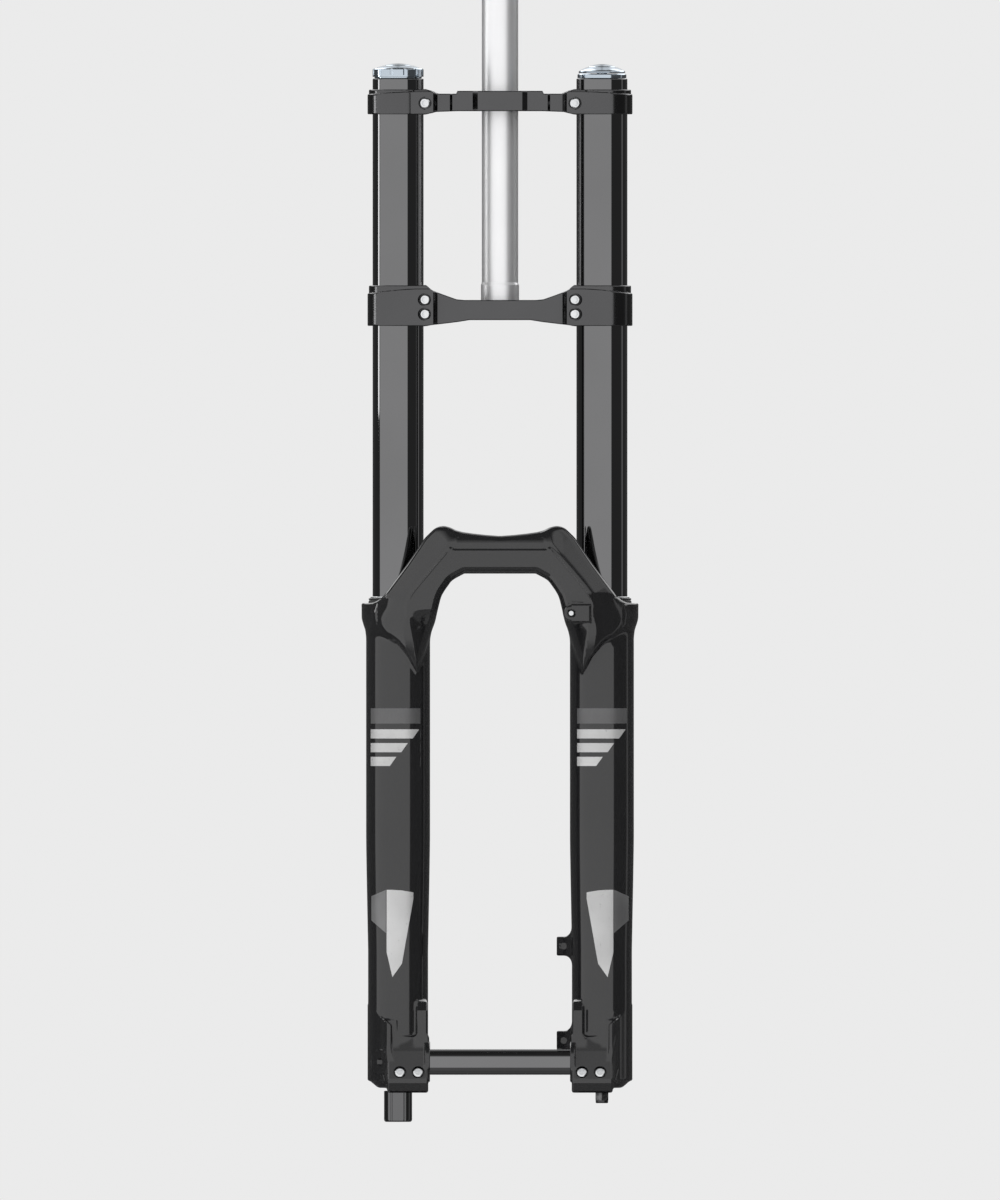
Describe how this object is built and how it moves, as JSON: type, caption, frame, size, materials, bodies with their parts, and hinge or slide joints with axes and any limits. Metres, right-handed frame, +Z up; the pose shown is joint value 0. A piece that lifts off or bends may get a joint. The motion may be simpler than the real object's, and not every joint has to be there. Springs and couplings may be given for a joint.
{
  "type": "suspension fork",
  "caption": "Dual-crown bicycle suspension fork with a straight steerer, black stanchions, a one-piece lower casting with a front arch, and a thru-axle.",
  "frame": {"origin": "on the steerer axis at the crown race seat, the flat top of the lower crown", "axes": "+Z up the steerer, -Y to the front of the fork, +X to the rider's left, the disc brake side"},
  "size_m": [0.2174, 0.1079, 0.8952],
  "materials": {
    "gloss_black_paint": "gloss black paint over a magnesium casting",
    "anodised_crown": "satin dark grey anodised aluminium",
    "black_stanchion": "smooth black anodised tube",
    "silver_alloy": "bright brushed aluminium",
    "blue_silver": "bluish silver anodised",
    "bright_steel": "bright plated steel",
    "gloss_black_knob": "gloss black anodised",
    "seal_rubber": "black seal rubber",
    "oiled_foam": "oil-soaked foam",
    "bronze": "dull bearing bronze",
    "nylon": "moulded plastic"
  },
  "bodies": {
    "crown_assembly": {"steerer_tube": "silver_alloy", "lower_crown": "anodised_crown", "upper_crown": "anodised_crown", "steerer_clamp_bolt": "bright_steel", "stanchion_right": "black_stanchion", "stanchion_left": "black_stanchion", "damper_top_cap": "blue_silver", "spring_top_cap": "blue_silver", "damper_cartridge_tube": "silver_alloy", "compression_valve": "silver_alloy", "floating_piston_spring": "bright_steel", "damper_seal_head": "anodised_crown", "damper_top_out_bumper": "seal_rubber", "air_valve_body": "bright_steel", "volume_spacer": "nylon", "air_seal_head": "anodised_crown", "air_top_out_bumper": "seal_rubber", "upper_clamp_bolt_right": "bright_steel", "lower_clamp_bolt_right_1": "bright_steel", "lower_clamp_bolt_right_2": "bright_steel", "upper_clamp_bolt_left": "bright_steel", "lower_clamp_bolt_left_1": "bright_steel", "lower_clamp_bolt_left_2": "bright_steel"},
    "lowers": {"lower_casting": "gloss_black_paint", "hose_guide_screw": "bright_steel", "damper_shaft": "bright_steel", "rebound_piston": "bronze", "air_shaft": "bright_steel", "air_piston": "nylon", "axle_clamp_bolt_right_1": "bright_steel", "axle_clamp_bolt_right_2": "bright_steel", "wiper_seal_right": "seal_rubber", "foam_ring_right": "oiled_foam", "upper_bushing_right": "bronze", "lower_bushing_right": "bronze", "crush_washer_right": "bright_steel", "foot_nut_right": "anodised_crown", "bleed_screw_right": "anodised_crown", "axle_clamp_bolt_left_1": "bright_steel", "axle_clamp_bolt_left_2": "bright_steel", "wiper_seal_left": "seal_rubber", "foam_ring_left": "oiled_foam", "upper_bushing_left": "bronze", "lower_bushing_left": "bronze", "crush_washer_left": "bright_steel", "foot_nut_left": "anodised_crown", "bleed_screw_left": "anodised_crown"},
    "thru_axle": {"thru_axle": "black_stanchion"},
    "rebound_knob": {"rebound_knob": "gloss_black_knob", "rebound_adjuster_rod": "bright_steel"},
    "compression_knob": {"compression_knob": "blue_silver"},
    "air_cap": {"air_cap": "blue_silver"},
    "valve_pin": {"valve_core_pin": "bronze"},
    "floating_piston": {"floating_piston": "nylon"}
  },
  "joints": [
    {"name": "fork_travel", "type": "slide", "parent": "crown_assembly", "child": "lowers", "axis": [0, 0, 1], "range_m": [0, 0.203], "stiffness_N_per_m": 6000, "springref_m": -0.02},
    {"name": "floating_piston_slide", "type": "slide", "parent": "crown_assembly", "child": "floating_piston", "axis": [0, 0, 1], "range_m": [0, 0.0285], "deforming": ["floating_piston_spring"]},
    {"name": "compression_knob_turn", "type": "hinge", "parent": "crown_assembly", "child": "compression_knob", "pos_m": [-0.08, -0.03, 0.18], "axis": [0, 0, 1], "range_deg": [0, 120]},
    {"name": "air_cap_lift", "type": "slide", "parent": "crown_assembly", "child": "air_cap", "axis": [0, 0, 1], "range_m": [0, 0.025]},
    {"name": "valve_pin_press", "type": "slide", "parent": "crown_assembly", "child": "valve_pin", "axis": [0, 0, -1], "range_m": [0, 0.0015], "stiffness_N_per_m": 600, "springref_m": -0.001},
    {"name": "rebound_knob_turn", "type": "hinge", "parent": "lowers", "child": "rebound_knob", "pos_m": [-0.08, -0.03, -0.63], "axis": [0, 0, 1], "range_deg": [0, 300]},
    {"name": "axle_withdraw", "type": "slide", "parent": "lowers", "child": "thru_axle", "axis": [-1, 0, 0], "range_m": [0, 0.15]}
  ],
  "couplings": [
    {"joint": "floating_piston_slide", "follows": "fork_travel", "ratio": 0.1372}
  ]
}
